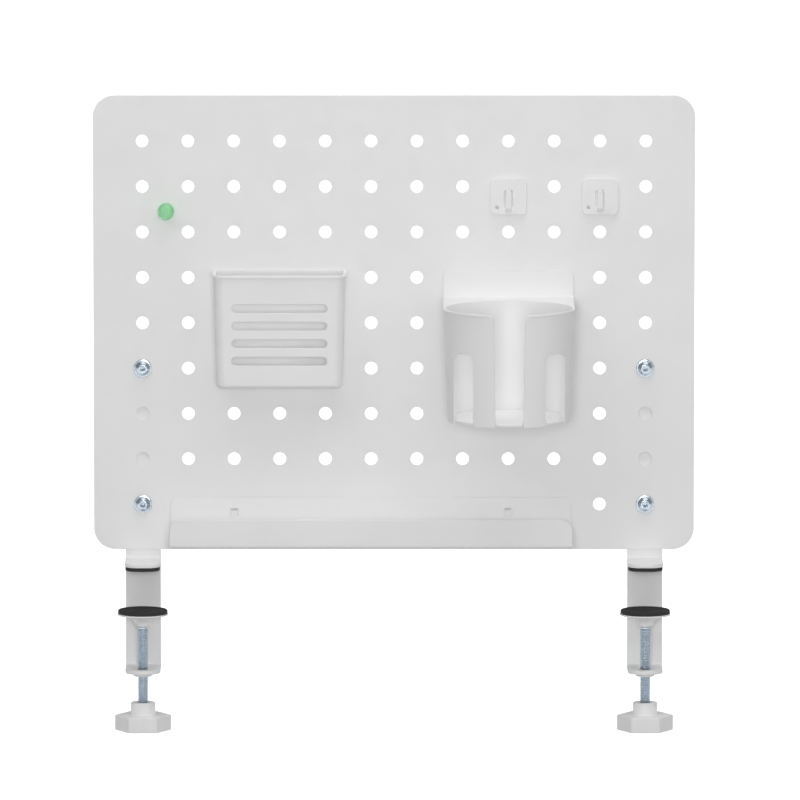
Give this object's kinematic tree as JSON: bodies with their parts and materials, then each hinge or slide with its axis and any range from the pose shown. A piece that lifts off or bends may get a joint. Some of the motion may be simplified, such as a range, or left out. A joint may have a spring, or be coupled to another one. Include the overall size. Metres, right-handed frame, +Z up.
{
  "type": "desk-clamp pegboard organiser",
  "caption": "Perforated steel panel on two screw clamps for a desk's edge, with hang-on tray, pen box, cup holder, hooks and a magnetic push pin.",
  "frame": {"origin": "midway between the clamps, on the desk's top surface (underside of the jaw pads) and at its rear edge (front face of the clamp brackets)", "axes": "+Z up along the panel, -Y out of the panel's front towards the user, +X to the right seen from the front"},
  "size_m": [0.46, 0.1316, 0.4875],
  "materials": {
    "white_steel": "white powder coat, fine satin texture",
    "black_rubber": "matte black rubber",
    "white_plastic": "satin white moulded plastic",
    "zinc_steel": "bluish bright zinc plating",
    "green_plastic": "glossy translucent green",
    "nickel_magnet": "nickel-plated magnet"
  },
  "bodies": {
    "board": {"peg_panel": "white_steel", "left_mounting_bracket": "white_steel", "left_clamp_bracket": "white_steel", "left_jaw_pad": "black_rubber", "left_upper_screw": "zinc_steel", "left_upper_nut": "zinc_steel", "left_lower_screw": "zinc_steel", "left_lower_nut": "zinc_steel", "right_mounting_bracket": "white_steel", "right_clamp_bracket": "white_steel", "right_jaw_pad": "black_rubber", "right_upper_screw": "zinc_steel", "right_upper_nut": "zinc_steel", "right_lower_screw": "zinc_steel", "right_lower_nut": "zinc_steel"},
    "left_swivel": {"left_swivel_ball": "zinc_steel"},
    "left_screw": {"left_clamp_screw": "zinc_steel", "left_knob": "white_plastic"},
    "left_foot": {"left_foot_plate": "white_steel", "left_foot_pad": "black_rubber"},
    "right_swivel": {"right_swivel_ball": "zinc_steel"},
    "right_screw": {"right_clamp_screw": "zinc_steel", "right_knob": "white_plastic"},
    "right_foot": {"right_foot_plate": "white_steel", "right_foot_pad": "black_rubber"},
    "tray_unit": {"tray": "white_steel"},
    "pen_box_unit": {"pen_box": "white_steel"},
    "cup_unit": {"cup_holder": "white_steel", "cup_floor": "white_steel"},
    "hook_1_unit": {"hook_plate_1": "white_steel"},
    "hook_2_unit": {"hook_plate_2": "white_steel"},
    "pin_unit": {"pin_cap": "green_plastic", "pin_magnet": "nickel_magnet"}
  },
  "joints": [
    {"name": "left_clamp_travel", "type": "slide", "parent": "board", "child": "left_swivel", "axis": [0, 0, 1], "range_m": [-0.032, 0.02]},
    {"name": "left_screw_turn", "type": "hinge", "parent": "left_swivel", "child": "left_screw", "pos_m": [-0.1925, -0.023, -0.04], "axis": [0, 0, 1], "range_deg": [-9220, 5764]},
    {"name": "left_foot_tilt", "type": "hinge", "parent": "left_swivel", "child": "left_foot", "pos_m": [-0.1925, -0.023, -0.04], "axis": [1, 0, 0], "range_deg": [-6, 6]},
    {"name": "right_clamp_travel", "type": "slide", "parent": "board", "child": "right_swivel", "axis": [0, 0, 1], "range_m": [-0.032, 0.02]},
    {"name": "right_screw_turn", "type": "hinge", "parent": "right_swivel", "child": "right_screw", "pos_m": [0.1925, -0.023, -0.04], "axis": [0, 0, 1], "range_deg": [-9220, 5764]},
    {"name": "right_foot_tilt", "type": "hinge", "parent": "right_swivel", "child": "right_foot", "pos_m": [0.1925, -0.023, -0.04], "axis": [1, 0, 0], "range_deg": [-6, 6]},
    {"name": "tray_lift", "type": "slide", "parent": "board", "child": "tray_unit", "axis": [0, -0.7071, 0.7071], "range_m": [0, 0.06]},
    {"name": "pen_box_lift", "type": "slide", "parent": "board", "child": "pen_box_unit", "axis": [0, -0.7071, 0.7071], "range_m": [0, 0.08]},
    {"name": "cup_holder_lift", "type": "slide", "parent": "board", "child": "cup_unit", "axis": [0, -0.7071, 0.7071], "range_m": [0, 0.08]},
    {"name": "hook_1_lift", "type": "slide", "parent": "board", "child": "hook_1_unit", "axis": [0, -0.7071, 0.7071], "range_m": [0, 0.08]},
    {"name": "hook_2_lift", "type": "slide", "parent": "board", "child": "hook_2_unit", "axis": [0, -0.7071, 0.7071], "range_m": [0, 0.08]},
    {"name": "pin_pull", "type": "slide", "parent": "board", "child": "pin_unit", "axis": [0, -1, 0], "range_m": [0, 0.05]}
  ],
  "couplings": [
    {"joint": "left_screw_turn", "follows": "left_clamp_travel", "rad_per_m": 5026.5},
    {"joint": "right_screw_turn", "follows": "right_clamp_travel", "rad_per_m": 5026.5}
  ]
}
